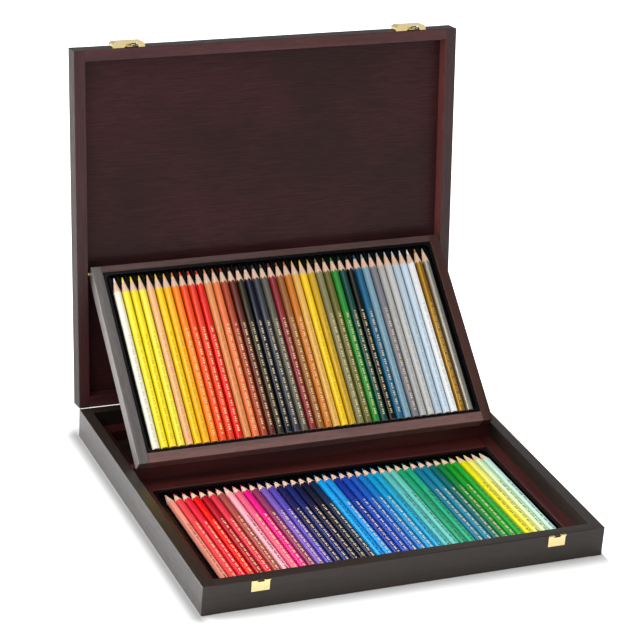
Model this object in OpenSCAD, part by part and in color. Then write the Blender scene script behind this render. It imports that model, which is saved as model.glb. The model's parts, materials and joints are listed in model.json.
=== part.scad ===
// Wooden presentation box for two layers of coloured pencils.
// The lower layer lies in the base. The upper layer lies in a framed tray that hangs on two pins
// in the lid, so that it rises and tilts when the lid is opened and lies flat when it is shut.
// Sizes run from the inside out: pencils, plastic insert, tray, lid and base.
// The box is drawn open. Origin: middle of the underside of the base. Front is -Y, up is +Z.
// The lid and the tray are drawn shut and are then swung open about their real axes.

/* [Pencils] */
// Pencils in one row
row_count = 40; // [40:1:40]
// Pencil width across flats
pencil_flats = 7; // [6.9:0.05:7.1]
// Gap between neighbouring pencils
pencil_gap = 0.05; // [0.02:0.01:0.1]
// Pencil length
pencil_len = 176; // [170:1:180]
// Half angle of the sharpened cone
cone_half_deg = 11.9; // [10:0.1:13]
// Radius of the blunted lead
lead_tip_r = 0.35; // [0.2:0.05:0.5]

/* [Plastic insert] */
// Width of the rim round the well
rim_w = 2.6; // [2:0.1:4]
// Gap between the outer pencils and the well's sides
well_side_gap = 3.05; // [2:0.05:5]
// Gap between the pencil tips and the well's rear end
tip_gap = 3.2; // [2:0.1:6]
// Gap between the pencils' blunt ends and the well's front end
end_gap = 0.4; // [0.2:0.1:3]
// Depth of the insert's rim below the wooden frame
insert_drop = 1.2; // [0.5:0.1:1.5]
// Depth of the pencils' axes below the wooden frame
axis_drop = 2.6; // [2.4:0.1:3]
// Thickness of the grooved floor
insert_floor_t = 1.2; // [0.8:0.1:2]
// Width of the flat top of the ridges between the grooves
ridge_top_w = 0.9; // [0.6:0.1:1.5]
// Corner radius of the well
well_corner_r = 5; // [2:0.5:8]
// Corner radius of the insert
insert_corner_r = 1.5; // [1:0.5:3]

/* [Tray] */
// Depth of the wooden frame round each insert
frame_depth = 10; // [9.5:0.5:13]
// Thickness of the tray's backing board
tray_back_t = 3; // [2.5:0.1:4]
// Width of the tray's side stiles
tray_stile_w = 10.1; // [9:0.1:14]
// Width of the tray's top rail
tray_top_rail_w = 6.6; // [6:0.1:10]
// Width of the tray's foot rail
tray_foot_rail_w = 9.8; // [8:0.1:14]
// Gap between the upper insert and the stiles
insert_side_gap = 0.3; // [0.1:0.1:0.6]
// Gap at each end of the upper insert
insert_end_gap = 0.2; // [0.1:0.1:0.6]

/* [Tray pivot] */
// Distance from the lid's rim up to the pivot
pivot_from_rim = 2.6; // [2.5:0.1:4]
// Distance from the tray's top edge to the pivot
pivot_from_tray_top = 4; // [3:0.1:5]
// Depth of the pivot below the tray's face
pivot_depth = 7; // [6:0.1:8]
// Pivot pin diameter
pivot_pin_d = 3; // [2:0.1:3.2]
// Length of pin held in the tray stile
pivot_in_tray = 7; // [5:0.5:8]
// Length of pin running in the lid stile
pivot_in_lid = 6; // [4:0.5:8]
// How far the raised tray's foot reaches past the divider
foot_overhang = 2.3; // [1:0.1:6]

/* [Lid and base] */
// Thickness of the outer walls and lid rails
wall_t = 10.6; // [9.8:0.1:14]
// Height of the base walls
base_h = 28.6; // [27:0.1:40]
// Height of the lid from rim to top
lid_h = 17.2; // [16.5:0.1:24]
// Thickness of the panel let into the lid
lid_panel_t = 3.2; // [2.5:0.1:4]
// Thickness of the bottom panel
bottom_t = 4; // [3:0.5:6]
// Angle that the lid stands open
lid_open_deg = 97.8; // [90:0.1:105]
// Gap between the two rims when the box is shut
parting_gap = 0.3; // [0.2:0.05:0.5]
// Gap between the shut tray and the side walls
tray_side_gap = 2.7; // [1:0.1:5]
// Gap between the shut tray's foot and the front wall
tray_front_gap = 3.9; // [2:0.1:8]

/* [Base fittings] */
// Gap between the lower insert and the side ledges
ledge_gap = 0.7; // [0.3:0.1:1.5]
// Gap between the lower insert and the front wall
lower_front_gap = 0.2; // [0.1:0.1:0.6]
// Gap between the lower insert and the middle rail
lower_rear_gap = 1.6; // [0.4:0.1:3]
// Gap between the shut tray and the divider
divider_gap = 0.9; // [0.6:0.1:2]
// Thickness of the divider
divider_t = 8; // [6:0.5:12]
// How far the middle rail shows behind the divider
middle_rail_lip = 4.8; // [2:0.2:10]
// Depth of the rear rail
rear_rail_d = 14.6; // [10:0.2:24]

/* [Hinges] */
// Distance of each hinge's middle from the end of the box
hinge_from_end = 82; // [40:1:110]
// Length of one hinge
hinge_len = 40; // [34:1:60]
// Diameter of the hinge pin
hinge_pin_d = 2; // [1.6:0.1:3]
// Wall of the knuckles
knuckle_wall = 1.1; // [0.9:0.1:1.5]
// Distance of the pin's middle behind the box's back face
hinge_back = 0.3; // [0.2:0.05:0.6]
// Depth of the leaf let into the wood
leaf_depth = 9; // [8:0.5:9.5]
// Thickness of the leaf
leaf_t = 1; // [0.8:0.1:1.2]
// Distance of each screw from the end of the leaf
screw_inset = 7; // [5:0.5:10]
// Screw length
screw_len = 7; // [6:0.5:12]

/* [Catches] */
// Mean distance of the catches' middles from the ends of the box
catch_from_end = 50.5; // [40:0.5:90]
// How far both catches sit to the right of their even places
catch_shift = 2; // [0:0.1:3]
// Width of the lever
lever_w = 31; // [28:0.5:36]
// Height of the lever, rim to top
lever_h = 13.2; // [12.5:0.1:15]
// Sheet thickness of the catch parts
sheet_t = 0.8; // [0.6:0.05:1]
// Diameter of the lever's pin
catch_pin_d = 1.4; // [1.2:0.1:1.6]
// Distance of the lever's pin below the lever's top
catch_pin_down = 3; // [3:0.1:3.5]
// Height of the nailed plate under the lever
plate_h = 8; // [7:0.5:8.5]
// Width of the arch in the lever's lower edge
arch_w = 15; // [12:0.5:17]
// Distance of the arch's middle from the lever's middle
arch_x = 2.4; // [1:0.1:4]
// Height of the arch
arch_h = 4.2; // [3:0.1:4.6]
// Radius of the lever's upper edge
lever_top_r = 3.4; // [3:0.1:4]
// Radius of the lever's ends
lever_corner_r = 4; // [3:0.1:4.4]
// Width of the lever's tongue
tongue_w = 5; // [4:0.1:6]
// How far the tongue reaches past the lid's rim
tongue_reach = 3.2; // [2:0.1:4]
// Width of the keeper plate
keeper_w = 16.8; // [15:0.1:20]
// Height of the keeper plate
keeper_h = 11.4; // [9:0.1:14]
// How far the keeper's lips stand out from the wall
lip_out = 2.6; // [2.2:0.1:3.2]

/* [Hidden] */
$fn = 64;

mahogany = [0.34, 0.19, 0.18];
dark_wood = [0.22, 0.14, 0.13];
brass = [0.88, 0.76, 0.45];
black_plastic = [0.04, 0.04, 0.045];

// Clearances
run_gap = 0.06;      // radial, between a pin and the bore that turns on it
press_gap = 0.02;    // radial, between a pin and the bore that holds it
swing_gap = 0.4;     // between hinge parts that pass each other
pass_gap = 0.3;      // between other parts that pass each other
groove_gap = 0.1;    // between a pencil and its groove
tiny = 0.01;         // overshoot of a cut past a surface
over = 1;            // overshoot of a cut into open air

// Pencils, along Y with the tip at the rear
group_count = 5;
pencil_corner_r = pencil_flats / sqrt(3);
pencil_pitch = 2 * pencil_corner_r + pencil_gap;
row_w = (row_count - 1) * pencil_pitch + 2 * pencil_corner_r;
cone_len = (pencil_corner_r - lead_tip_r) / tan(cone_half_deg);

// Insert
insert_w = row_w + 2 * (well_side_gap + rim_w);
insert_len = pencil_len + tip_gap + end_gap + 2 * rim_w;
insert_h = frame_depth - insert_drop;
floor_top = -axis_drop - pencil_flats / 2 - groove_gap;
ridge_foot = pencil_pitch / 2 - pencil_corner_r / 2 - groove_gap;
ridge_h = (ridge_foot - ridge_top_w / 2) / tan(30);

// Tray
tray_t = frame_depth + tray_back_t;
tray_bay_w = insert_w + 2 * insert_side_gap;
tray_bay_len = insert_len + 2 * insert_end_gap;
tray_w = tray_bay_w + 2 * tray_stile_w;
tray_len = tray_top_rail_w + tray_bay_len + tray_foot_rail_w;

// Hinge axis, seen from the top edge of the back wall
knuckle_r = hinge_pin_d / 2 + knuckle_wall;
barrel_seat_r = knuckle_r + pass_gap;
hinge_up = parting_gap / 2;

// The pivot lies so far from the hinge axis that the raised tray rests its back on the divider's
// front edge and its foot just reaches past it. The arm's length is the root of a quadratic.
pivot_up = pivot_from_rim + hinge_up;
back_depth = tray_t - pivot_depth + pass_gap;
reach_along = tray_len - pivot_from_tray_top - foot_overhang;
arm_y = 1 - cos(lid_open_deg);
arm_z = sin(lid_open_deg);
shift_y = pivot_up * sin(lid_open_deg) - pivot_from_tray_top - divider_gap;
shift_z = pivot_up * cos(lid_open_deg) + hinge_up;
mixed = arm_y * shift_y + arm_z * shift_z;
square_arm = arm_y * arm_y + arm_z * arm_z;
square_rest = shift_y * shift_y + shift_z * shift_z - reach_along * reach_along - back_depth * back_depth;
pivot_arm = (sqrt(mixed * mixed - square_arm * square_rest) - mixed) / square_arm;
line_deg = atan2(arm_z * pivot_arm + shift_z, arm_y * pivot_arm + shift_y);
tray_tilt_deg = line_deg - atan(back_depth / reach_along);
tray_swing_deg = tray_tilt_deg + lid_open_deg;

// Box, drawn shut
inner_w = tray_w + 2 * tray_side_gap;
box_w = inner_w + 2 * wall_t;
box_d = wall_t + tray_front_gap + tray_len - pivot_from_tray_top + pivot_arm - hinge_back;
half_w = box_w / 2;
half_d = box_d / 2;
inner_d = box_d - 2 * wall_t;
rim_z = base_h + parting_gap;
lid_panel_z = rim_z + lid_h - lid_panel_t;
hinge_y = half_d + hinge_back;
hinge_z = base_h + hinge_up;
pivot_y = hinge_y - pivot_arm;
pivot_z = rim_z + pivot_from_rim;
tray_rear_y = pivot_y + pivot_from_tray_top;
tray_face_z = pivot_z + pivot_depth;

// Base fittings
frame_z = bottom_t + frame_depth;
bay_w = insert_w + 2 * ledge_gap;
ledge_w = (inner_w - bay_w) / 2;
lower_insert_y = wall_t - half_d + lower_front_gap + insert_len;
bay_rear_y = lower_insert_y + lower_rear_gap;
divider_y = tray_rear_y + divider_gap;

// Hinges
hinge_x = half_w - hinge_from_end;
knuckle_len = hinge_len / 5;
screw_head_r = 1.6;
screw_shank_r = 0.9;
screw_tip_len = 1;
screw_slot = 0.5;
screw_x = hinge_len / 2 - screw_inset;
screw_y = half_d - leaf_depth / 2;

// Catches, seen from the front face and the lid's rim
function catch_x(side) = side * (half_w - catch_from_end) + catch_shift;
face_y = -half_d;
lever_lift = 0.2;
keeper_drop = 0.1;
catch_knuckle_wall = 0.8;
catch_knuckle_r = catch_pin_d / 2 + catch_knuckle_wall;
catch_knuckle_w = 9;
catch_spin_w = 5.1;
catch_spin_x = catch_knuckle_w / 2 + swing_gap + catch_spin_w / 2;
catch_pin_len = 2 * (catch_spin_x + catch_spin_w / 2 + swing_gap);
front_room = 0.7;
plate_side_gap = 5.2;
plate_w = lever_w - 2 * (sheet_t + plate_side_gap);
pin_out = sheet_t + pass_gap + catch_knuckle_r;
pin_up = lever_lift + lever_h - catch_pin_down;
lever_proud = pin_out + catch_knuckle_r + front_room + sheet_t;
plate_up = pin_up + catch_knuckle_r - plate_h;
tongue_out = 1.8;
tongue_root = 6;
notch_gap = 0.8;
notch_w = tongue_w + 2 * notch_gap;
nail_r = 0.6;
nail_len = 6;
nail_inset = 3;

// ---------- swinging the lid and the tray open ----------

module lid_open() {
    translate([0, hinge_y, hinge_z]) rotate([-lid_open_deg, 0, 0])
        translate([0, -hinge_y, -hinge_z]) children();
}

module tray_raised() {
    lid_open()
        translate([0, pivot_y, pivot_z]) rotate([tray_swing_deg, 0, 0]) translate([0, -pivot_y, -pivot_z])
            children();
}

// Insert and pencils are drawn once: rear edge of the insert at Y 0, face of the wooden frame at Z 0
module at_lower_bay() {
    translate([0, lower_insert_y, frame_z]) children();
}

module at_tray_bay() {
    tray_raised() translate([0, tray_rear_y - tray_top_rail_w - insert_end_gap, tray_face_z]) children();
}

// ---------- shared shapes ----------

module block(x0, x1, y0, y1, z0, z1) {
    translate([x0, y0, z0]) cube([x1 - x0, y1 - y0, z1 - z0]);
}

module rounded_plate(w, d, h, r) {
    linear_extrude(h) {
        square([w - 2 * r, d], center = true);
        square([w, d - 2 * r], center = true);
        for (x = [-1, 1], y = [-1, 1]) translate([x * (w / 2 - r), y * (d / 2 - r)]) circle(r);
    }
}

module along_x(x, y, z, r, len) {
    translate([x, y, z]) rotate([0, 90, 0]) cylinder(r = r, h = len, center = true);
}

// Countersunk wood screw, head face at Z 0, pointing down
module screw() {
    difference() {
        rotate_extrude()
            polygon([[0, 0], [screw_head_r, 0], [screw_shank_r, -leaf_t],
                     [screw_shank_r, screw_tip_len - screw_len], [0, -screw_len]]);
        cube([2 * screw_head_r + over, screw_slot, screw_slot], center = true);
    }
}

module screw_hole() {
    rotate_extrude()
        polygon([[0, tiny], [screw_head_r + press_gap, tiny], [screw_head_r + press_gap, 0],
                 [screw_shank_r + press_gap, -leaf_t], [screw_shank_r + press_gap, screw_tip_len - screw_len],
                 [0, -screw_len - press_gap]]);
}

// Flush nail along +Y, head face at Y 0
module nail(gap = 0) {
    rotate([-90, 0, 0]) cylinder(r = nail_r + gap, h = nail_len + gap);
}

// ---------- base ----------

// Seats of the leaves, and of the barrel that they share, in the rear edge of a wall
module hinge_mortises(z0, z1) {
    for (side = [-1, 1]) {
        block(side * hinge_x - hinge_len / 2, side * hinge_x + hinge_len / 2, half_d - leaf_depth,
              half_d + tiny, z0, z1);
        along_x(side * hinge_x, hinge_y, hinge_z, barrel_seat_r, hinge_len + 2 * pass_gap);
    }
}

module hinge_screw_places() {
    for (side = [-1, 1], end = [-1, 1]) translate([side * hinge_x + end * screw_x, screw_y, 0]) children();
}

module keeper_at(side) {
    translate([catch_x(side), face_y, base_h - keeper_drop]) children();
}

module keeper_nail_places() {
    for (end = [-1, 1])
        translate([end * (keeper_w / 2 - nail_inset), -sheet_t, nail_inset - keeper_h]) children();
}

module front_wall() {
    color(dark_wood) difference() {
        block(-inner_w / 2, inner_w / 2, -half_d, wall_t - half_d, 0, base_h);
        for (side = [-1, 1]) keeper_at(side) keeper_nail_places() nail(press_gap);
    }
}

module back_wall() {
    color(dark_wood) difference() {
        block(-inner_w / 2, inner_w / 2, half_d - wall_t, half_d, 0, base_h);
        hinge_mortises(base_h - leaf_t, base_h + tiny);
        translate([0, 0, base_h]) hinge_screw_places() screw_hole();
    }
}

module side_wall(side) {
    color(dark_wood) translate([side * (half_w - wall_t / 2), 0, base_h / 2])
        cube([wall_t, box_d, base_h], center = true);
}

module bottom_panel() {
    color(dark_wood) block(-inner_w / 2, inner_w / 2, -inner_d / 2, inner_d / 2, 0, bottom_t);
}

module ledge(side) {
    color(mahogany) translate([side * (inner_w - ledge_w) / 2, 0, bottom_t + frame_depth / 2])
        cube([ledge_w, inner_d, frame_depth], center = true);
}

module middle_rail() {
    color(mahogany)
        block(-bay_w / 2, bay_w / 2, bay_rear_y, divider_y + divider_t + middle_rail_lip, bottom_t, frame_z);
}

module rear_rail() {
    color(mahogany) block(-bay_w / 2, bay_w / 2, inner_d / 2 - rear_rail_d, inner_d / 2, bottom_t, frame_z);
}

module divider() {
    color(mahogany) block(-inner_w / 2, inner_w / 2, divider_y, divider_y + divider_t, frame_z, base_h);
}

// ---------- pencil rows ----------

// Outline across the row of the space above the grooved floor
function groove_outline() = concat(
    [[-insert_w / 2, over], [-insert_w / 2, floor_top]],
    [for (i = [0:row_count]) let (x = (i - row_count / 2) * pencil_pitch)
        each [[x - ridge_foot, floor_top], [x - ridge_top_w / 2, floor_top + ridge_h],
              [x + ridge_top_w / 2, floor_top + ridge_h], [x + ridge_foot, floor_top]]],
    [[insert_w / 2, floor_top], [insert_w / 2, over]]
);

module insert() {
    well_w = insert_w - 2 * rim_w;
    well_len = insert_len - 2 * rim_w;
    color(black_plastic) translate([0, -insert_len / 2, 0]) difference() {
        translate([0, 0, -frame_depth]) rounded_plate(insert_w, insert_len, insert_h, insert_corner_r);
        intersection() {
            translate([0, 0, floor_top - tiny]) rounded_plate(well_w, well_len, frame_depth, well_corner_r);
            rotate([90, 0, 0]) linear_extrude(insert_len, center = true) polygon(groove_outline());
        }
        translate([0, 0, -frame_depth - tiny])
            rounded_plate(well_w, well_len, frame_depth + floor_top - insert_floor_t, well_corner_r);
    }
}

module pencil() {
    rotate([-90, 0, 0]) intersection() {
        cylinder(r = pencil_corner_r, h = pencil_len, $fn = 6);
        rotate_extrude()
            polygon([[0, 0], [pencil_corner_r + over, 0],
                     [pencil_corner_r + over, pencil_len - cone_len - over / tan(cone_half_deg)],
                     [lead_tip_r, pencil_len], [0, pencil_len]]);
    }
}

module pencil_group(group, tint) {
    first = group * group_count;
    color(tint) for (i = [first:first + group_count - 1])
        translate([(i - (row_count - 1) / 2) * pencil_pitch, -rim_w - tip_gap - pencil_len, -axis_drop])
            pencil();
}

module lower_pencils(group, tint) {
    at_lower_bay() pencil_group(group, tint);
}

module upper_pencils(group, tint) {
    at_tray_bay() pencil_group(group, tint);
}

// ---------- hinges ----------

// Knuckles 0, 2 and 4 belong to the base, 1 and 3 to the lid
module hinge_leaf(side, z0, knuckles, others, pin_gap) {
    left = side * hinge_x - hinge_len / 2;
    color(brass) difference() {
        union() {
            block(left, left + hinge_len, half_d - leaf_depth, hinge_y, z0, z0 + leaf_t);
            for (k = knuckles) {
                x0 = left + k * knuckle_len + (k == 0 ? 0 : swing_gap / 2);
                x1 = left + (k + 1) * knuckle_len - (k == 4 ? 0 : swing_gap / 2);
                along_x((x0 + x1) / 2, hinge_y, hinge_z, knuckle_r, x1 - x0);
            }
        }
        for (k = others)
            block(left + k * knuckle_len - swing_gap / 2, left + (k + 1) * knuckle_len + swing_gap / 2,
                  hinge_y - barrel_seat_r, hinge_y + knuckle_r + over, hinge_z - knuckle_r - over,
                  hinge_z + knuckle_r + over);
        along_x(side * hinge_x, hinge_y, hinge_z, hinge_pin_d / 2 + pin_gap, hinge_len + over);
        translate([0, 0, z0 < hinge_z ? base_h : rim_z]) mirror([0, 0, z0 < hinge_z ? 0 : 1])
            hinge_screw_places() screw_hole();
    }
}

module base_hinge_leaf(side) {
    hinge_leaf(side, base_h - leaf_t, [0, 2, 4], [1, 3], press_gap);
}

module lid_hinge_leaf(side) {
    lid_open() hinge_leaf(side, rim_z, [1, 3], [0, 2, 4], run_gap);
}

module hinge_pin(side) {
    color(brass) along_x(side * hinge_x, hinge_y, hinge_z, hinge_pin_d / 2, hinge_len);
}

module base_hinge_screws() {
    color(brass) translate([0, 0, base_h]) hinge_screw_places() screw();
}

module lid_hinge_screws() {
    color(brass) lid_open() translate([0, 0, rim_z]) mirror([0, 0, 1]) hinge_screw_places() screw();
}

// ---------- lid ----------

module catch_nail_places() {
    for (side = [-1, 1], end = [-1, 1])
        translate([catch_x(side) + end * (plate_w / 2 - nail_inset), face_y - sheet_t,
                   rim_z + plate_up + nail_inset])
            children();
}

module lid_front_rail() {
    color(mahogany) lid_open() difference() {
        block(-inner_w / 2, inner_w / 2, -half_d, wall_t - half_d, rim_z, rim_z + lid_h);
        catch_nail_places() nail(press_gap);
    }
}

module lid_back_rail() {
    color(mahogany) lid_open() difference() {
        block(-inner_w / 2, inner_w / 2, half_d - wall_t, half_d, rim_z, rim_z + lid_h);
        hinge_mortises(rim_z - tiny, rim_z + leaf_t);
        translate([0, 0, rim_z]) mirror([0, 0, 1]) hinge_screw_places() screw_hole();
    }
}

module lid_stile(side) {
    color(mahogany) lid_open() difference() {
        translate([side * (half_w - wall_t / 2), 0, rim_z + lid_h / 2])
            cube([wall_t, box_d, lid_h], center = true);
        along_x(side * inner_w / 2, pivot_y, pivot_z, pivot_pin_d / 2 + run_gap, 2 * (pivot_in_lid + pass_gap));
    }
}

module lid_panel() {
    color(mahogany) lid_open()
        block(-inner_w / 2, inner_w / 2, -inner_d / 2, inner_d / 2, lid_panel_z, rim_z + lid_h);
}

// ---------- catches ----------

// Plate nailed to the lid, with the middle knuckle of the lever's pivot
module catch_plate(side) {
    color(brass) lid_open() difference() {
        union() {
            translate([catch_x(side), face_y - sheet_t / 2, rim_z + plate_up + plate_h / 2])
                cube([plate_w, sheet_t, plate_h], center = true);
            translate([catch_x(side), face_y - pin_out / 2, rim_z + pin_up])
                cube([catch_knuckle_w, pin_out, 2 * catch_knuckle_r], center = true);
            along_x(catch_x(side), face_y - pin_out, rim_z + pin_up, catch_knuckle_r, catch_knuckle_w);
        }
        along_x(catch_x(side), face_y - pin_out, rim_z + pin_up, catch_pin_d / 2 + press_gap,
                catch_knuckle_w + over);
        catch_nail_places() translate([0, -tiny, 0]) nail(press_gap);
    }
}

module catch_pin(side) {
    color(brass) lid_open()
        along_x(catch_x(side), face_y - pin_out, rim_z + pin_up, catch_pin_d / 2, catch_pin_len);
}

module catch_nails() {
    color(brass) lid_open() catch_nail_places() nail();
}

// Pillow-shaped solid with its back on the lid's face, its lower edge at Z 0 and its middle at X 0
module lever_pillow(inset) {
    w = lever_w - 2 * inset;
    top = lever_h - inset;
    proud = lever_proud - inset;
    r = lever_corner_r - inset;
    rt = lever_top_r - inset;
    intersection() {
        translate([0, 0, inset]) linear_extrude(top - inset) {
            translate([-w / 2, r - proud]) square([w, proud - r]);
            translate([r - w / 2, -proud]) square([w - 2 * r, proud]);
            for (x = [-1, 1]) translate([x * (w / 2 - r), r - proud]) circle(r);
        }
        rotate([90, 0, 90]) linear_extrude(w, center = true) {
            translate([-proud, 0]) square([proud, top - rt]);
            translate([rt - proud, 0]) square([proud - rt, top]);
            translate([rt - proud, top - rt]) circle(rt);
        }
    }
}

// Outline of the arch, open towards the lid's face
module arch() {
    polygon([[arch_x - arch_w / 2, over], [arch_x - arch_w / 2, 0], [arch_x - arch_w / 7, -arch_h],
             [arch_x + arch_w / 3, -arch_h], [arch_x + arch_w / 2, 0], [arch_x + arch_w / 2, over]]);
}

// Hollow pressed lever with an arch in its lower edge, two knuckles and a tongue for the keeper's notch
module catch_lever(side) {
    pin_z = pin_up - lever_lift;
    tongue_left = -tongue_w / 2;
    tongue_end = -tongue_reach - lever_lift;
    color(brass) lid_open() translate([catch_x(side), face_y, rim_z + lever_lift]) difference() {
        union() {
            difference() {
                lever_pillow(0);
                translate([0, tiny, 0]) lever_pillow(sheet_t);
                translate([0, 0, -over]) linear_extrude(sheet_t + 2 * over) arch();
            }
            intersection() {
                lever_pillow(0);
                for (end = [-1, 1]) union() {
                    along_x(end * catch_spin_x, -pin_out, pin_z, catch_knuckle_r, catch_spin_w);
                    translate([end * catch_spin_x, -lever_proud, pin_z])
                        cube([catch_spin_w, 2 * (lever_proud - pin_out), 2 * catch_knuckle_r], center = true);
                }
            }
            translate([tongue_left, -tongue_out - sheet_t, tongue_end])
                cube([tongue_w, sheet_t, tongue_root - tongue_end]);
            translate([tongue_left, -lever_proud + sheet_t / 2, tongue_root - sheet_t])
                cube([tongue_w, lever_proud - tongue_out - sheet_t / 2, sheet_t]);
        }
        along_x(0, -pin_out, pin_z, catch_pin_d / 2 + run_gap, lever_w);
        translate([0, lever_proud / 2 - pass_gap, lever_h / 2])
            cube([lever_w + over, lever_proud, lever_h + over], center = true);
        difference() {
            translate([0, -pin_out / 2, pin_z + lever_h / 2])
                cube([lever_w + over, pin_out, lever_h], center = true);
            along_x(0, -pin_out, pin_z, catch_knuckle_r, lever_w + 2 * over);
        }
    }
}

// Plate on the front wall with two lips bent forward and a notch between them
module keeper(side) {
    color(brass) keeper_at(side) difference() {
        union() {
            translate([-keeper_w / 2, -sheet_t, -keeper_h]) cube([keeper_w, sheet_t, keeper_h - sheet_t]);
            translate([-keeper_w / 2, -lip_out, -sheet_t]) cube([keeper_w, lip_out - sheet_t, sheet_t]);
            intersection() {
                along_x(0, -sheet_t, -sheet_t, sheet_t, keeper_w);
                translate([-keeper_w / 2, -sheet_t, -sheet_t]) cube([keeper_w, sheet_t, sheet_t]);
            }
        }
        translate([-notch_w / 2, -lip_out - over, -lip_out])
            cube([notch_w, lip_out + 2 * over, lip_out + over]);
        keeper_nail_places() translate([0, -tiny, 0]) nail(press_gap);
    }
}

module keeper_nails() {
    color(brass) for (side = [-1, 1]) keeper_at(side) keeper_nail_places() nail();
}

// ---------- tray ----------

module tray_block(x0, x1, from_top, to_top, depth0, depth1) {
    block(x0, x1, tray_rear_y - to_top, tray_rear_y - from_top, tray_face_z - depth1, tray_face_z - depth0);
}

module tray_top_rail() {
    color(mahogany) tray_raised() tray_block(-tray_bay_w / 2, tray_bay_w / 2, 0, tray_top_rail_w, 0, tray_t);
}

module tray_foot_rail() {
    color(mahogany) tray_raised()
        tray_block(-tray_bay_w / 2, tray_bay_w / 2, tray_len - tray_foot_rail_w, tray_len, 0, tray_t);
}

module tray_stile(side) {
    color(mahogany) tray_raised() difference() {
        mirror([side < 0 ? 1 : 0, 0, 0]) tray_block(tray_bay_w / 2, tray_w / 2, 0, tray_len, 0, tray_t);
        along_x(side * tray_w / 2, pivot_y, pivot_z, pivot_pin_d / 2 + press_gap, 2 * pivot_in_tray);
    }
}

module tray_backing() {
    color(dark_wood) tray_raised()
        tray_block(-tray_bay_w / 2, tray_bay_w / 2, tray_top_rail_w, tray_top_rail_w + tray_bay_len,
                   frame_depth, tray_t);
}

module tray_pivot(side) {
    pin_len = pivot_in_tray + tray_side_gap + pivot_in_lid;
    color(brass) tray_raised()
        along_x(side * (tray_w / 2 - pivot_in_tray + pin_len / 2), pivot_y, pivot_z, pivot_pin_d / 2, pin_len);
}

// ---------- drawing ----------

front_wall();
back_wall();
side_wall(-1);  // left_wall
side_wall(1);  // right_wall
bottom_panel();
ledge(-1);  // left_ledge
ledge(1);  // right_ledge
middle_rail();
rear_rail();
divider();
at_lower_bay() insert();  // lower_insert
lower_pencils(0, "salmon");  // lower_pencils_coral
lower_pencils(1, "hotpink");  // lower_pencils_pink
lower_pencils(2, "rebeccapurple");  // lower_pencils_violet
lower_pencils(3, "midnightblue");  // lower_pencils_navy
lower_pencils(4, "royalblue");  // lower_pencils_blue
lower_pencils(5, "mediumturquoise");  // lower_pencils_turquoise
lower_pencils(6, "seagreen");  // lower_pencils_green
lower_pencils(7, "khaki");  // lower_pencils_lime
keeper(-1);  // keeper_left
keeper(1);  // keeper_right
keeper_nails();
base_hinge_leaf(-1);  // base_hinge_leaf_left
base_hinge_leaf(1);  // base_hinge_leaf_right
hinge_pin(-1);  // hinge_pin_left
hinge_pin(1);  // hinge_pin_right
base_hinge_screws();
lid_front_rail();
lid_back_rail();
lid_stile(-1);  // lid_left_stile
lid_stile(1);  // lid_right_stile
lid_panel();
lid_hinge_leaf(-1);  // lid_hinge_leaf_left
lid_hinge_leaf(1);  // lid_hinge_leaf_right
lid_hinge_screws();
catch_plate(-1);  // catch_plate_left
catch_plate(1);  // catch_plate_right
catch_pin(-1);  // catch_pin_left
catch_pin(1);  // catch_pin_right
catch_nails();
catch_lever(-1);  // catch_lever_left
catch_lever(1);  // catch_lever_right
tray_top_rail();
tray_foot_rail();
tray_stile(-1);  // tray_left_stile
tray_stile(1);  // tray_right_stile
tray_backing();
at_tray_bay() insert();  // upper_insert
upper_pencils(0, "khaki");  // upper_pencils_lemon
upper_pencils(1, "orange");  // upper_pencils_orange
upper_pencils(2, "sienna");  // upper_pencils_russet
upper_pencils(3, "darkslategray");  // upper_pencils_slate
upper_pencils(4, "goldenrod");  // upper_pencils_ochre
upper_pencils(5, "olive");  // upper_pencils_olive
upper_pencils(6, "slategray");  // upper_pencils_grey
upper_pencils(7, "silver");  // upper_pencils_silver
tray_pivot(-1);  // tray_pivot_left
tray_pivot(1);  // tray_pivot_right
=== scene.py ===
import json
import math

import bpy
from mathutils import Euler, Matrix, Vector
from mathutils.bvhtree import BVHTree


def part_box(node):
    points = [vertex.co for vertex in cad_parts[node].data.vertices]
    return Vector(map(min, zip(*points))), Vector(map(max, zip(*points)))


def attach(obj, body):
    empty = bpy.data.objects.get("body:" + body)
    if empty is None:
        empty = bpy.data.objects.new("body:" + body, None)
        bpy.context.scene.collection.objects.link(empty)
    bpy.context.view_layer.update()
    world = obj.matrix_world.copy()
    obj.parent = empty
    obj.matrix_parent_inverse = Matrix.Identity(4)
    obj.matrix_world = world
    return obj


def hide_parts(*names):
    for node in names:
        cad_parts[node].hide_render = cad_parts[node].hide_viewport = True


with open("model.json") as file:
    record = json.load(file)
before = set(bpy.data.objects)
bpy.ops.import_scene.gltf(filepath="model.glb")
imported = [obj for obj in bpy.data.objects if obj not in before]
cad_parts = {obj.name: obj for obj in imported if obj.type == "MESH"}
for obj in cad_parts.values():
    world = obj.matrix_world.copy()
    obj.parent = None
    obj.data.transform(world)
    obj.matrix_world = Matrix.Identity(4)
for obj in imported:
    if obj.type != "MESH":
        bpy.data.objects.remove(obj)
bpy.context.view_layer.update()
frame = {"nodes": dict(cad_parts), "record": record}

bpy.ops.object.select_all(action="DESELECT")

# ---------- camera ----------
# The photograph is taken from the front left and a little above, with a long lens.
# The lens shift puts the box where the photograph has it, and is no larger than that needs.
camera = bpy.data.objects.new("camera", bpy.data.cameras.new("camera"))
bpy.context.collection.objects.link(camera)
camera.location = (-0.86189, -1.87351, 1.11218)
camera.rotation_euler = Euler([math.radians(a) for a in (63.7950, -4.4467, -23.4072)])
camera.data.lens = 141.83
camera.data.shift_x = -0.0870
camera.data.shift_y = 0.1240
bpy.context.scene.camera = camera

# ---------- studio floor ----------
# A plain white floor that carries the box's shadow where it stands. Away from the box it glows white.
# Near the base's outline the glow fades out, and a painted shadow darkens its colour there, a little at the front
# and much more at the left.
# It lights the box only as plain white paper would.
bpy.ops.mesh.primitive_plane_add(size=30)
floor = bpy.context.object
floor.name = "studio_floor"


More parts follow.
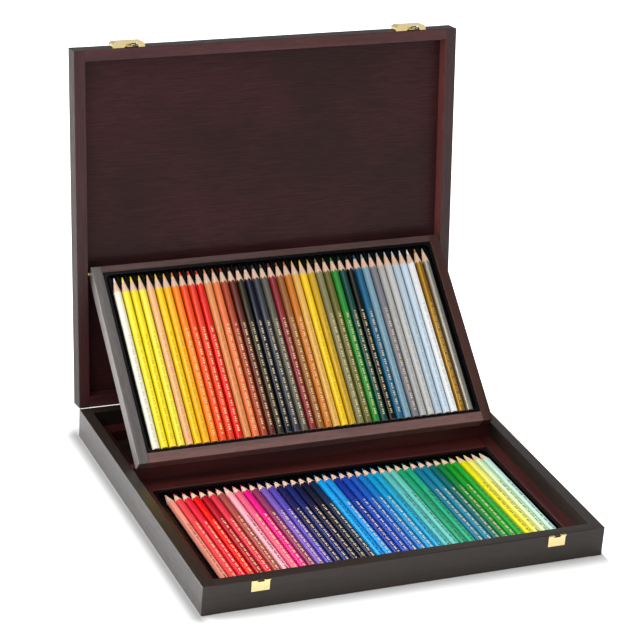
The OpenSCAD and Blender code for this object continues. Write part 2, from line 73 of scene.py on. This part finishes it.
def tree_of(thing):
    """The empty node tree of a material or world, with its output."""
    thing.use_nodes = True
    tree = thing.node_tree
    tree.nodes.clear()
    kind = "ShaderNodeOutputWorld" if isinstance(thing, bpy.types.World) else "ShaderNodeOutputMaterial"
    return tree, tree.nodes.new(kind)


def node(tree, kind, settings=None, **inputs):
    """A node of that kind. An input is a value or the socket that feeds it.
    In an input's name _ stands for a space, and i0 is the first input."""
    made = tree.nodes.new("ShaderNode" + kind)
    for name, value in (settings or {}).items():
        setattr(made, name, value)
    for name, value in inputs.items():
        counted = name[0] == "i" and name[1:].isdigit()
        socket = made.inputs[int(name[1:]) if counted else name.replace("_", " ")]
        if isinstance(value, bpy.types.NodeSocket):
            tree.links.new(value, socket)
        else:
            socket.default_value = value
    return made


def sums(tree, operation, *values, clamp=False):
    """The result of one arithmetic step."""
    inputs = {"i%d" % place: value for place, value in enumerate(values)}
    return node(tree, "Math", {"operation": operation, "use_clamp": clamp}, **inputs).outputs[0]


def ramp(tree, value, start, end, smooth=False):
    """A value carried from the range start to the range end, and level beyond both."""
    settings = {"interpolation_type": "SMOOTHSTEP" if smooth else "LINEAR"}
    return node(tree, "MapRange", settings, Value=value, From_Min=start[0], From_Max=start[1],
                To_Min=end[0], To_Max=end[1]).outputs[0]


half_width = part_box("right_wall")[1][0]
half_depth = -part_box("front_wall")[0][1]
paper_white = 0.80
glow_full_at, glow_strength = 0.044, 1.1
painted_shadow_ends, painted_shadow_left, painted_shadow_front, beyond_painted_shadow = 0.019, 0.38, 0.80, 0.82
painted_shadow_corner, lid_margin = (-0.006, 0.002), (-0.016, 0.008)
slow_start = 2.5
mirror_share = 0.4

white_floor = bpy.data.materials.new("white_floor")
tree, out = tree_of(white_floor)
where = node(tree, "SeparateXYZ", Vector=node(tree, "TexCoord").outputs["Object"])
# How far a spot lies outside each side of the base. The right side's shade is kept short.
left, right, front, back = [
    sums(tree, "MULTIPLY_ADD", where.outputs[axis], stretch, -abs(stretch) * half)
    for axis, stretch, half in (("X", -1.0, half_width), ("X", 8.0, half_width),
                                ("Y", -1.0, half_depth), ("Y", 1.0, half_depth))]
# Behind the base the open lid stands over the floor, so the shade there starts slowly.
behind = sums(tree, "MAXIMUM", back, 0.0)
slow = sums(tree, "MULTIPLY", behind, slow_start)
lid_shade = ramp(tree, left, lid_margin, (slow, 1.0))
rear = sums(tree, "MULTIPLY", behind, lid_shade)
wide = sums(tree, "MAXIMUM", left, right)
deep = sums(tree, "MAXIMUM", front, rear)
outside = node(tree, "VectorMath", {"operation": "MAXIMUM"},
               i0=node(tree, "CombineXYZ", X=wide, Y=deep).outputs[0], i1=(0, 0, 0))
reach = node(tree, "VectorMath", {"operation": "LENGTH"}, i0=outside.outputs[0]).outputs["Value"]
fade = ramp(tree, reach, (0.0, glow_full_at), (0.0, glow_strength), smooth=True)
# Painted shadow: the floor's colour darkens near the base, a little at the front and behind, and much more at the
# left.
painted_contact_colour = ramp(tree, left, painted_shadow_corner, (painted_shadow_front, painted_shadow_left))
painted_shadow_colour = ramp(tree, reach, (0.0, painted_shadow_ends), (painted_contact_colour, beyond_painted_shadow), smooth=True)
glow = node(tree, "Emission", Color=(1, 1, 1, 1), Strength=fade)
shade = node(tree, "BsdfDiffuse", Color=painted_shadow_colour)
lifted = node(tree, "AddShader", i0=shade.outputs[0], i1=glow.outputs[0])
paper = node(tree, "BsdfDiffuse", Color=(paper_white, paper_white, paper_white, 1))
rays = node(tree, "LightPath")
seen = sums(tree, "MULTIPLY_ADD", rays.outputs["Is Glossy Ray"], mirror_share, rays.outputs["Is Camera Ray"])
shown = node(tree, "MixShader", i0=seen, i1=paper.outputs[0], i2=lifted.outputs[0])
tree.links.new(shown.outputs[0], out.inputs["Surface"])
floor.data.materials.append(white_floor)

# ---------- studio light ----------
# A white surround, dimmer where it lights the box, with a broad lamp overhead to the left,
# a weaker one at the front left, and a large bright card low at the left.
surround = bpy.data.worlds.new("surround")
bpy.context.scene.world = surround
tree, out = tree_of(surround)
heading = node(tree, "SeparateXYZ", Vector=node(tree, "TexCoord").outputs["Generated"])
sky = ramp(tree, heading.outputs["Z"], (0.0, 0.9), (0.75, 0.12))
soft = node(tree, "Background", Color=(1, 1, 1, 1), Strength=0.42)
room = node(tree, "Background", Color=(1, 1, 1, 1), Strength=sky)
white = node(tree, "Background", Color=(1, 1, 1, 1), Strength=1.0)
rays = node(tree, "LightPath")
mirrored = node(tree, "MixShader", i0=rays.outputs["Is Glossy Ray"], i1=soft.outputs[0], i2=room.outputs[0])
shown = node(tree, "MixShader", i0=rays.outputs["Is Camera Ray"], i1=mirrored.outputs[0], i2=white.outputs[0])
tree.links.new(shown.outputs[0], out.inputs["Surface"])


def lamp(name, place, aim, size, power):
    """A rectangular lamp at a place, turned to the point it lights."""
    light = bpy.data.lights.new(name, "AREA")
    light.shape = "RECTANGLE"
    light.size, light.size_y = size
    light.energy = power
    holder = bpy.data.objects.new(name, light)
    bpy.context.collection.objects.link(holder)
    holder.location = place
    holder.rotation_euler = (Vector(aim) - Vector(place)).to_track_quat("-Z", "Y").to_euler()


lamp("overhead", (-0.5, 0.0, 2.4), (0, 0, 0.1), (2.6, 2.2), 35)
lamp("front_left", (-1.9, -1.3, 1.5), (0, 0, 0.15), (1.4, 1.2), 14)
lamp("left_card", (-2.0, 1.1, 0.7), (0, 0, 0.15), (1.6, 1.4), 74)
bpy.context.scene.view_settings.view_transform = "Standard"

# ---------- base walls ----------
# Four boards of dark stained hardwood, glued butt to butt at the corners, with lightly eased
# edges under a satin lacquer. The side boards' front ends are stained with the front board.


def linear(code):
    """A colour written as six hex digits, as the shader wants it."""
    parts = [int(code[i:i + 2], 16) / 255 for i in (0, 2, 4)]
    return tuple(p / 12.92 if p <= 0.04045 else ((p + 0.055) / 1.055) ** 2.4 for p in parts) + (1.0,)


def stained_wood(name, dark, light, turn=(0, 0, 0), shift=0.0, gloss=0.34, cloudy=0.0,
                 figure_scale=(6, 90, 90), sheet=0.0, shine=0.42):
    """Open-pored hardwood under stain and satin lacquer. turn brings the grain to the board's
    length, and shift gives each board a figure of its own. cloudy is how uneven the stain is,
    gloss the lacquer's roughness, shine its strength, and sheet a second and smoother coat."""
    pore_scale, pore_shade, pore_rough = (90, 1700, 1700), 0.72, 0.12
    pore_depth, pore_strength = 0.00005, 0.22
    cloud_scale, sheet_rough = 7.0, 0.22
    material = bpy.data.materials.new(name)
    tree, out = tree_of(material)
    place = node(tree, "TexCoord").outputs["Object"]
    along = node(tree, "Mapping", Vector=place, Rotation=[math.radians(a) for a in turn],
                 Location=(shift, shift, shift)).outputs[0]
    long_figure = node(tree, "Mapping", Vector=along, Scale=figure_scale)
    figure = node(tree, "TexNoise", Vector=long_figure.outputs[0], Scale=1.0, Detail=6.0,
                  Roughness=0.62, Distortion=0.4)
    long_pore = node(tree, "Mapping", Vector=along, Scale=pore_scale)
    pore = node(tree, "TexNoise", Vector=long_pore.outputs[0], Scale=1.0, Detail=2.0, Roughness=0.5)
    cloud = node(tree, "TexNoise", Vector=along, Scale=cloud_scale, Detail=3.0, Roughness=0.5)
    streaks = ramp(tree, figure.outputs["Fac"], (0.30, 0.70), (0.0, 1.0))
    pores = ramp(tree, pore.outputs["Fac"], (0.38, 0.62), (0.0, 1.0))
    clouds = ramp(tree, cloud.outputs["Fac"], (0.35, 0.65), (-cloudy, cloudy))
    spread = sums(tree, "ADD", streaks, clouds, clamp=True)
    board = node(tree, "Mix", {"data_type": "RGBA"}, Factor=spread, i6=linear(dark), i7=linear(light))
    depth = ramp(tree, pores, (0.0, 1.0), (pore_shade, 1.0))
    stained = node(tree, "VectorMath", {"operation": "SCALE"}, Vector=board.outputs["Result"], Scale=depth)
    rough = ramp(tree, pores, (0.0, 1.0), (gloss + pore_rough, gloss))
    bump = node(tree, "Bump", Strength=pore_strength, Distance=pore_depth, Height=pores)
    skin = node(tree, "BsdfPrincipled", Base_Color=stained.outputs[0], Roughness=rough, Normal=bump.outputs[0],
                Specular_IOR_Level=shine, Coat_Weight=sheet, Coat_Roughness=sheet_rough)
    tree.links.new(skin.outputs[0], out.inputs["Surface"])
    return material


neighbours = {name: BVHTree.FromPolygons([v.co for v in part.data.vertices],
                                         [f.vertices for f in part.data.polygons])
              for name, part in frame["nodes"].items() if "pencil" not in name and "insert" not in name}


def eased_copy(source, body, material, ease=0.0006, shortest=0.005, faced=()):
    """The piece's mesh with its open edges rounded, as sanding and lacquer leave them. An edge
    that lies on a neighbour is glued and stays tight, and so does one under the shortest length.
    A shortest of 0 rounds every edge. faced lists pairs: the ways a face looks, and its finish."""
    weld, level, sharp, smooth, glue = 0.000005, math.radians(0.5), math.radians(35), math.radians(40), 0.00005
    towards = 0.7
    piece = bpy.data.objects.new(source + "_finished", frame["nodes"][source].data.copy())
    bpy.context.collection.objects.link(piece)
    bpy.ops.object.select_all(action="DESELECT")
    piece.select_set(True)
    bpy.context.view_layer.objects.active = piece
    bpy.ops.object.mode_set(mode="EDIT")
    bpy.ops.mesh.select_all(action="SELECT")
    bpy.ops.mesh.remove_doubles(threshold=weld)
    bpy.ops.mesh.dissolve_limited(angle_limit=level)
    bpy.ops.mesh.select_all(action="DESELECT")
    bpy.ops.mesh.select_mode(type="EDGE")
    bpy.ops.mesh.edges_select_sharp(sharpness=sharp)
    bpy.ops.object.mode_set(mode="OBJECT")
    for e in piece.data.edges:
        a, b = (piece.data.vertices[i].co for i in e.vertices)
        middle = (a + b) / 2
        glued = shortest and e.select and any(skin.find_nearest(middle, glue)[0] is not None
                                              for name, skin in neighbours.items() if name != source)
        e.select = e.select and (a - b).length > shortest and not glued
    for f in piece.data.polygons:
        f.select = False
    bpy.ops.object.mode_set(mode="EDIT")
    bpy.ops.mesh.bevel(offset=ease, segments=2, affect="EDGES", clamp_overlap=True)
    bpy.ops.object.mode_set(mode="OBJECT")
    bpy.ops.object.shade_smooth_by_angle(angle=smooth)
    flat = piece.modifiers.new("flat", "WEIGHTED_NORMAL")
    flat.keep_sharp = True
    bpy.ops.object.modifier_apply(modifier="flat")
    piece.data.materials.clear()
    piece.data.materials.append(material)
    for slot, (ways, finish) in enumerate(faced, 1):
        piece.data.materials.append(finish)
        for f in piece.data.polygons:
            if any(f.normal.dot(Vector(way)) > towards for way in ways):
                f.material_index = slot
    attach(piece, body)
    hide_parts(source)


WALL_DARK, WALL_LIGHT = "201915", "302722"
TO_FRONT, TO_BACK = (0, -1, 0), (0, 1, 0)
front_wood = stained_wood("front_wall_wood", "231a15", "342822", shift=0.3, sheet=0.1)
eased_copy("front_wall", "base", front_wood)
eased_copy("back_wall", "base", stained_wood("back_wall_wood", WALL_DARK, WALL_LIGHT, shift=0.9, sheet=0.25),
           ease=0.0002)
for side, shift, sheet in (("left", 1.7, 0.4), ("right", 2.6, 0.1)):
    wood = stained_wood(side + "_wall_wood", WALL_DARK, WALL_LIGHT, (0, 0, -90), shift, sheet=sheet)
    eased_copy(side + "_wall", "base", wood, shortest=0.02, faced=[([TO_FRONT], front_wood)])

# ---------- bottom panel ----------
# One sheet of stained plywood let in between the walls. It is the floor of the rear
# compartment, and the ledges and rails round the lower insert are glued to it.
PLY_DARK, PLY_LIGHT = "1c1312", "332422"
eased_copy("bottom_panel", "base", stained_wood("bottom_wood", PLY_DARK, PLY_LIGHT, shift=3.1, gloss=0.42),
           ease=0.0003)

# ---------- ledges, rails and divider ----------
# Strips of red-stained hardwood glued to the bottom and the walls.
# They frame the lower insert and carry the tray's foot.
for source, turn, shift in (("left_ledge", -90, 0.2), ("right_ledge", -90, 0.7), ("middle_rail", 0, 1.2),
                            ("rear_rail", 0, 1.9), ("divider", 0, 2.3)):
    eased_copy(source, "base", stained_wood(source + "_wood", "260f0e", "582320", (0, 0, turn), shift))

# ---------- lid frame ----------
# Two rails between two full-length stiles, in the same hardwood with a redder stain inside
# and the walls' dark one outside. The inner edge of the right stile has a painted light: a lighter, redder colour
# for the lamp light that falls on it from the left.
lid_angle = frame["record"]["behaviour"]["joints"][0]["range_deg"][1]
TO_LEFT, TO_RIGHT, UP, DOWN = (-1, 0, 0), (1, 0, 0), (0, 0, 1), (0, 0, -1)
for source, turn, shift, dark, light, ways, ease in (
        ("lid_front_rail", 0, 0.4, "441f22", "673738", [UP, TO_BACK], 0.0006),
        ("lid_back_rail", 0, 1.1, "441f22", "673738", [DOWN, TO_BACK], 0.0002),
        ("lid_left_stile", -90, 1.6, "351619", "512829", [TO_LEFT, UP, DOWN, TO_BACK], 0.0006),
        ("lid_right_stile", -90, 2.2, "341d1f", "4f3132", [TO_RIGHT, UP, DOWN, TO_BACK], 0.0006)):
    grain = (lid_angle, 0, turn)
    faced = [(ways, stained_wood(source + "_outside", WALL_DARK, WALL_LIGHT, grain, shift, gloss=0.45, shine=0.16))]
    # Painted light on the right stile's inner face, which looks towards the light from the left.
    if source == "lid_right_stile":
        faced.append(([TO_LEFT], stained_wood(source + "_painted_light_face", "743e3b", "94534f", grain, shift)))
    eased_copy(source, "lid", stained_wood(source + "_wood", dark, light, grain, shift), ease, 0.012, faced)

# ---------- lid panel ----------
# A thin veneered board let into the frame, with its grain from left to right.
# Its stain is cloudy inside, and the outside has the walls' dark stain.
panel_outside = stained_wood("lid_panel_outside", WALL_DARK, WALL_LIGHT, (lid_angle, 0, 0), 3.3,
                             gloss=0.42, shine=0.22)
panel_inside = stained_wood("lid_panel_wood", "331a1b", "492325", (lid_angle, 0, 0), 2.9, cloudy=0.45,
                            shine=0.2, figure_scale=(30, 560, 560))
eased_copy("lid_panel", "lid", panel_inside, ease=0.0003, faced=[([TO_BACK], panel_outside)])

# ---------- tray frame ----------
# Two full-length stiles with a top and a foot rail between them, of the same hardwood.
# The foot rail and the left stile are coloured paler and greyer: a painted sheen of the lacquer in the light from
# the left.
tray_angle = -frame["record"]["behaviour"]["joints"][1]["range_deg"][0] - lid_angle
for source, turn, shift, dark, light, shine in (
        ("tray_top_rail", 0, 0.5, "47302e", "614643", 0.42),
        # Painted sheen: the foot rail and the left stile get paler, greyer colours than the top rail.
        ("tray_foot_rail", 0, 1.3, "6d4d49", "8f6a65", 0.38),
        ("tray_left_stile", -90, 1.8, "5a5553", "716b69", 0.42),
        ("tray_right_stile", -90, 2.7, "3c2420", "543630", 0.2)):
    wood = stained_wood(source + "_wood", dark, light, (-tray_angle, 0, turn), shift, shine=shine)
    eased_copy(source, "tray", wood)

# ---------- tray backing ----------
# Thin stained plywood let into the frame's rear edge.
# It closes the back of the tray and carries the upper insert.
eased_copy("tray_backing", "tray",
           stained_wood("tray_backing_wood", PLY_DARK, PLY_LIGHT, (-tray_angle, 0, 0), 3.4, gloss=0.42),
           ease=0.0003)

# ---------- plastic inserts ----------
# Vacuum-formed black sheet with a rounded rim and one groove for each pencil.
# The sheet has a faint orange-peel surface from the mould.
black_sheet = bpy.data.materials.new("black_sheet")
tree, out = tree_of(black_sheet)
peel = node(tree, "TexNoise", Vector=node(tree, "TexCoord").outputs["Object"], Scale=220.0,
            Detail=3.0).outputs["Fac"]
bump = node(tree, "Bump", Strength=0.2, Distance=0.00008, Height=peel)
skin = node(tree, "BsdfPrincipled", Base_Color=(0.003, 0.003, 0.0034, 1), Normal=bump.outputs[0],
            Roughness=ramp(tree, peel, (0.0, 1.0), (0.20, 0.36)), Specular_IOR_Level=0.15)
tree.links.new(skin.outputs[0], out.inputs["Surface"])
eased_copy("lower_insert", "base", black_sheet, ease=0.0003, shortest=0)
eased_copy("upper_insert", "tray", black_sheet, ease=0.0003, shortest=0)

# ---------- one pencil ----------
# A hexagonal cedar casing in glossy lacquer round a coloured lead, sharpened to a cone.
# The cone cuts the six flats in a row of scallops. The blunt end is a clean cut.
pencil_length = 0.176
pencil_flats = 0.007
pencil_arris = 0.0003
lacquer_gap = 0.00005
pencil_pitch = 2 * pencil_flats / math.sqrt(3) + lacquer_gap
cone_angle = math.radians(11.9)
lead_tip = 0.00035
lead_shown = 0.0048
lead_radius = 0.0012
LACQUER, CEDAR, LEAD = 0, 1, 2

bpy.ops.mesh.primitive_cylinder_add(vertices=6, radius=pencil_flats / math.sqrt(3), depth=pencil_length,
                                    location=(0, 0, pencil_length / 2), rotation=(0, 0, math.radians(30)))
pencil = bpy.context.object
pencil.name = "pencil_pattern"
bpy.ops.object.transform_apply(location=True, rotation=True, scale=True)
bpy.ops.object.mode_set(mode="EDIT")
bpy.ops.mesh.select_all(action="DESELECT")
bpy.ops.object.mode_set(mode="OBJECT")
for e in pencil.data.edges:
    a, b = (pencil.data.vertices[i].co for i in e.vertices)
    e.select = abs(a.z - b.z) > pencil_length / 2
bpy.ops.object.mode_set(mode="EDIT")
bpy.ops.mesh.select_mode(type="EDGE")
bpy.ops.mesh.bevel(offset=pencil_arris, segments=2, affect="EDGES")
bpy.ops.object.mode_set(mode="OBJECT")

bpy.ops.mesh.primitive_cone_add(vertices=48, radius1=lead_tip + pencil_length * math.tan(cone_angle),
                                radius2=lead_tip, depth=pencil_length, location=(0, 0, pencil_length / 2))
sharpener = bpy.context.object
bpy.ops.object.transform_apply(location=True, rotation=True, scale=True)
bpy.ops.object.select_all(action="DESELECT")
pencil.select_set(True)
bpy.context.view_layer.objects.active = pencil
cut = pencil.modifiers.new("sharpen", "BOOLEAN")
cut.operation = "INTERSECT"
cut.solver = "EXACT"
cut.object = sharpener
bpy.ops.object.modifier_apply(modifier="sharpen")
bpy.data.objects.remove(sharpener)
bpy.ops.object.mode_set(mode="EDIT")
bpy.ops.mesh.select_all(action="SELECT")
bpy.ops.mesh.bisect(plane_co=(0, 0, pencil_length - lead_shown), plane_no=(0, 0, 1))
bpy.ops.mesh.select_all(action="DESELECT")
bpy.ops.object.mode_set(mode="OBJECT")
for f in pencil.data.polygons:
    f.select = f.normal.z < -0.9
bpy.ops.object.mode_set(mode="EDIT")
bpy.ops.mesh.select_mode(type="FACE")
bpy.ops.mesh.inset(thickness=pencil_flats / 2 - lead_radius)
bpy.ops.object.mode_set(mode="OBJECT")

# The flats' own map: x runs along the pencil. On the top flat y is the distance from its middle,
# and on the others it rises to touch_line where two pencils touch.
touch_line = 1.5


def lacquer_material():
    """Glossy lacquer in each pencil's own colour, with a broken line of pressed foil along the top flat. The side
    flats carry a painted shade that darkens them towards the line where two pencils touch.
    """
    foil_starts, foil_ends, foil_half_width = 0.006, 0.116, 0.0009
    speck_scale, bare_share = (1500, 1300, 1), 0.22
    words, letters = (118.0, 0.78), (430.0, 0.66)
    painted_gap_shade = 0.04
    material = bpy.data.materials.new("pencil_lacquer")
    tree, out = tree_of(material)
    colour = node(tree, "Attribute", {"attribute_name": "lacquer"}).outputs["Color"]
    foil = node(tree, "Attribute", {"attribute_name": "foil"}).outputs["Color"]
    metal = node(tree, "Attribute", {"attribute_name": "metal"}).outputs["Fac"]
    seed = node(tree, "Attribute", {"attribute_name": "seed"}).outputs["Vector"]
    uv = node(tree, "UVMap", {"uv_map": "length"}).outputs["UV"]
    split = node(tree, "SeparateXYZ", Vector=uv)
    along, across = split.outputs["X"], split.outputs["Y"]
    shifted = node(tree, "VectorMath", {"operation": "ADD"}, i0=uv, i1=seed).outputs[0]
    run = node(tree, "SeparateXYZ", Vector=shifted).outputs["X"]
    specks = node(tree, "VectorMath", {"operation": "MULTIPLY"}, i0=shifted, i1=speck_scale)
    steps = node(tree, "VectorMath", {"operation": "FLOOR"}, i0=specks.outputs[0])
    chance = node(tree, "TexWhiteNoise", {"noise_dimensions": "2D"}, Vector=steps.outputs[0])
    stamp = sums(tree, "GREATER_THAN", chance.outputs["Value"], bare_share)
    for per_metre, share in (words, letters):
        beat = sums(tree, "FRACT", sums(tree, "MULTIPLY", run, per_metre))
        stamp = sums(tree, "MULTIPLY", stamp, sums(tree, "LESS_THAN", beat, share))
    off_middle = sums(tree, "ABSOLUTE", across)
    for operation, socket, edge in (("GREATER_THAN", along, foil_starts), ("LESS_THAN", along, foil_ends),
                                    ("LESS_THAN", off_middle, foil_half_width)):
        stamp = sums(tree, "MULTIPLY", stamp, sums(tree, operation, socket, edge))
    printed = node(tree, "Mix", {"data_type": "RGBA"}, Factor=stamp, i6=colour, i7=foil)
    # Painted shade: the side flats darken towards touch_line, where two pencils touch, for the shadow in the gap
    # between them.
    painted_gap_shadow = ramp(tree, across, (touch_line - 0.14, touch_line - 0.02), (1.0, painted_gap_shade))
    paint = node(tree, "VectorMath", {"operation": "SCALE"}, Vector=printed.outputs["Result"], Scale=painted_gap_shadow)
    skin = node(tree, "BsdfPrincipled", Base_Color=paint.outputs[0], Metallic=metal,
                Roughness=ramp(tree, metal, (0.0, 1.0), (0.34, 0.42)),
                Specular_IOR_Level=0.32, Coat_Weight=0.25, Coat_Roughness=0.1)
    tree.links.new(skin.outputs[0], out.inputs["Surface"])
    return material


def cedar_material():
    """Pale pink cedar, with the fine turned marks that a sharpener leaves."""
    material = bpy.data.materials.new("pencil_cedar")
    tree, out = tree_of(material)
    grain = node(tree, "TexNoise", Vector=node(tree, "TexCoord").outputs["Object"], Scale=900.0,
                 Detail=3.0, Roughness=0.6).outputs["Fac"]
    wood = node(tree, "Mix", {"data_type": "RGBA"}, Factor=grain, i6=linear("d9a583"), i7=linear("f6dcc6"))
    bump = node(tree, "Bump", Strength=0.3, Distance=0.00004, Height=grain)
    skin = node(tree, "BsdfPrincipled", Base_Color=wood.outputs["Result"], Roughness=0.55,
                Normal=bump.outputs[0])
    tree.links.new(skin.outputs[0], out.inputs["Surface"])
    return material


def lead_material():
    """Waxy coloured lead, in the pencil's own colour."""
    material = bpy.data.materials.new("pencil_lead")
    tree, out = tree_of(material)
    colour = node(tree, "Attribute", {"attribute_name": "lead"}).outputs["Color"]
    wax = node(tree, "TexNoise", Vector=node(tree, "TexCoord").outputs["Object"], Scale=1500.0, Detail=2.0)
    skin = node(tree, "BsdfPrincipled", Base_Color=colour,
                Roughness=ramp(tree, wax.outputs["Fac"], (0.0, 1.0), (0.35, 0.55)))
    tree.links.new(skin.outputs[0], out.inputs["Surface"])
    return material


for material in (lacquer_material(), cedar_material(), lead_material()):
    pencil.data.materials.append(material)
for f in pencil.data.polygons:
    if f.normal.z < -0.9:
        f.material_index = LEAD if f.center.xy.length < lead_radius * 0.5 and len(f.vertices) > 6 else CEDAR
    elif f.normal.z > 0.1:
        f.material_index = LEAD if f.center.z > pencil_length - lead_shown else CEDAR
    else:
        f.material_index = LACQUER
flow = pencil.data.uv_layers.new(name="length")
for f in pencil.data.polygons:
    top_flat = f.normal.y < -0.99
    for i in f.loop_indices:
        co = pencil.data.vertices[pencil.data.loops[i].vertex_index].co
        down_side = touch_line + min(co.y, 0) / pencil_flats
        flow.data[i].uv = (co.z, co.x if top_flat else down_side)
bpy.ops.object.shade_smooth_by_angle(angle=math.radians(25))
# The pencil is laid down with its tip to the rear and its first flat on top.
bpy.ops.object.select_all(action="DESELECT")
pencil.select_set(True)
bpy.context.view_layer.objects.active = pencil
pencil.rotation_euler = (math.radians(-90), 0, 0)
bpy.ops.object.transform_apply(location=True, rotation=True, scale=True)

# ---------- two rows of pencils ----------
# Forty pencils lie side by side in each row, in the grooves of their insert.
# Each piece is five neighbours. A colour that starts with m is a metallic lacquer.
GOLD_FOIL, DARK_FOIL = linear("f2dca4"), linear("1c2420")


def tint(mesh, name, colour):
    """One colour all over a pencil, kept in an attribute for its material."""
    layer = mesh.color_attributes.new(name, "FLOAT_COLOR", "POINT")
    layer.data.foreach_set("color", list(colour) * len(mesh.vertices))


def pencil_row(source, body, turn, codes):
    """Five pencils in their colours, turned with the tray, put where the CAD piece lies."""
    deepening, pale_green, faint_share, metal_share, seed_step = 1.15, 0.3, 0.72, 0.85, 0.0037
    bpy.ops.object.select_all(action="DESELECT")
    for place, code in enumerate(codes):
        colour = [c ** deepening for c in linear(code[-6:])]
        faint = [c * faint_share for c in colour[:3]] + [1]
        on_pale = faint if body == "tray" else DARK_FOIL
        metal = metal_share if code.startswith("m") else 0
        one = bpy.data.objects.new(source + "_finished", pencil.data.copy())
        bpy.context.collection.objects.link(one)
        tint(one.data, "lacquer", colour)
        tint(one.data, "lead", colour)
        tint(one.data, "foil", on_pale if colour[1] > pale_green else GOLD_FOIL)
        tint(one.data, "metal", (metal, metal, metal, 1))
        tint(one.data, "seed", (seed_step * ((place * 7 + len(source) * 3) % 11), 0, 0, 1))
        one.location.x = (place - (len(codes) - 1) / 2) * pencil_pitch
        one.select_set(True)
        bpy.context.view_layer.objects.active = one
    bpy.ops.object.join()
    row = bpy.context.object
    row.name = source + "_finished"
    bpy.ops.object.transform_apply(location=True, rotation=True, scale=True)
    row.rotation_euler = (math.radians(turn), 0, 0)
    bpy.ops.object.transform_apply(location=True, rotation=True, scale=True)
    low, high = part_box(source)
    points = [v.co for v in row.data.vertices]
    middle = [(min(p[k] for p in points) + max(p[k] for p in points)) / 2 for k in range(3)]
    row.location = [(low[k] + high[k]) / 2 - middle[k] for k in range(3)]
    bpy.ops.object.transform_apply(location=True, rotation=True, scale=True)
    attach(row, body)
    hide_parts(source)


upper_colours = {
    "lemon": ("f6f3df", "fff03a", "ffe81e", "fff050", "fbc48e"),
    "orange": ("ffd800", "ffc41a", "ff9410", "f65614", "ee4418"),
    "russet": ("ec1a0c", "eba064", "f08650", "b44c28", "6e2c1e"),
    "slate": ("3a301a", "121a34", "454956", "6c685c", "982e36"),
    "ochre": ("a86e3c", "d8862a", "efc066", "ffda22", "d6b020"),
    "olive": ("928c66", "787636", "30983a", "005448", "040404"),
    "grey": ("186f94", "8cb0c0", "8a8a93", "c0bfbc", "d2d3d1"),
    "silver": ("c6d6e1", "d8e7f4", "f7f8f8", "mbf9230", "mb9b5ac"),
}
lower_colours = {
    "coral": ("ffac98", "ec4e56", "e42846", "ea0c12", "b4142e"),
    "pink": ("dc3a50", "ae5450", "f8b0ba", "f0688c", "e61c8c"),
    "violet": ("98406a", "8464ba", "6052b4", "1e2460", "1c2e74"),
    "navy": ("101c4e", "0e1a38", "103056", "14a6e8", "1a9adc"),
    "blue": ("0c3a9c", "1650b4", "1a60ba", "107ec4", "0a9ccc"),
    "turquoise": ("18a8cc", "62bebc", "70c8bc", "1ea678", "24ae86"),
    "green": ("0c809c", "0c8aa6", "067276", "088a42", "0c9e30"),
    "lime": ("24ae38", "f0e61a", "f4ee78", "e0f2c4", "caeadb"),
}
for family, codes in upper_colours.items():
    pencil_row("upper_pencils_" + family, "tray", tray_angle, codes)
for family, codes in lower_colours.items():
    pencil_row("lower_pencils_" + family, "base", 0, codes)
bpy.data.objects.remove(pencil)

# ---------- brass fittings ----------
# Hinges, catches, keepers, pins, nails and screws in pale polished brass plate.
# The stamped plates have eased edges, and the small turned parts keep their own mesh.
brass_plate = bpy.data.materials.new("brass_plate")
tree, out = tree_of(brass_plate)
wear = node(tree, "TexNoise", Vector=node(tree, "TexCoord").outputs["Object"], Scale=400.0,
            Detail=4.0).outputs["Fac"]
tone = node(tree, "Mix", {"data_type": "RGBA"}, Factor=wear, i6=linear("ecd088"), i7=linear("fbe7b2"))
skin = node(tree, "BsdfPrincipled", Base_Color=tone.outputs["Result"], Metallic=1.0,
            Roughness=ramp(tree, wear, (0.0, 1.0), (0.08, 0.22)))
tree.links.new(skin.outputs[0], out.inputs["Surface"])
for side in ("left", "right"):
    eased_copy("keeper_" + side, "base", brass_plate, ease=0.0002, shortest=0)
for side in ("left", "right"):
    eased_copy("catch_lever_" + side, "catch_" + side, brass_plate, ease=0.00015, shortest=0)
    eased_copy("base_hinge_leaf_" + side, "base", brass_plate, ease=0.00015, shortest=0)
    eased_copy("lid_hinge_leaf_" + side, "lid", brass_plate, ease=0.00015, shortest=0)
for source, part in frame["nodes"].items():
    if any(word in source for word in ("hinge", "pin", "screw", "nail", "plate", "pivot")):
        part.data.materials.clear()
        part.data.materials.append(brass_plate)
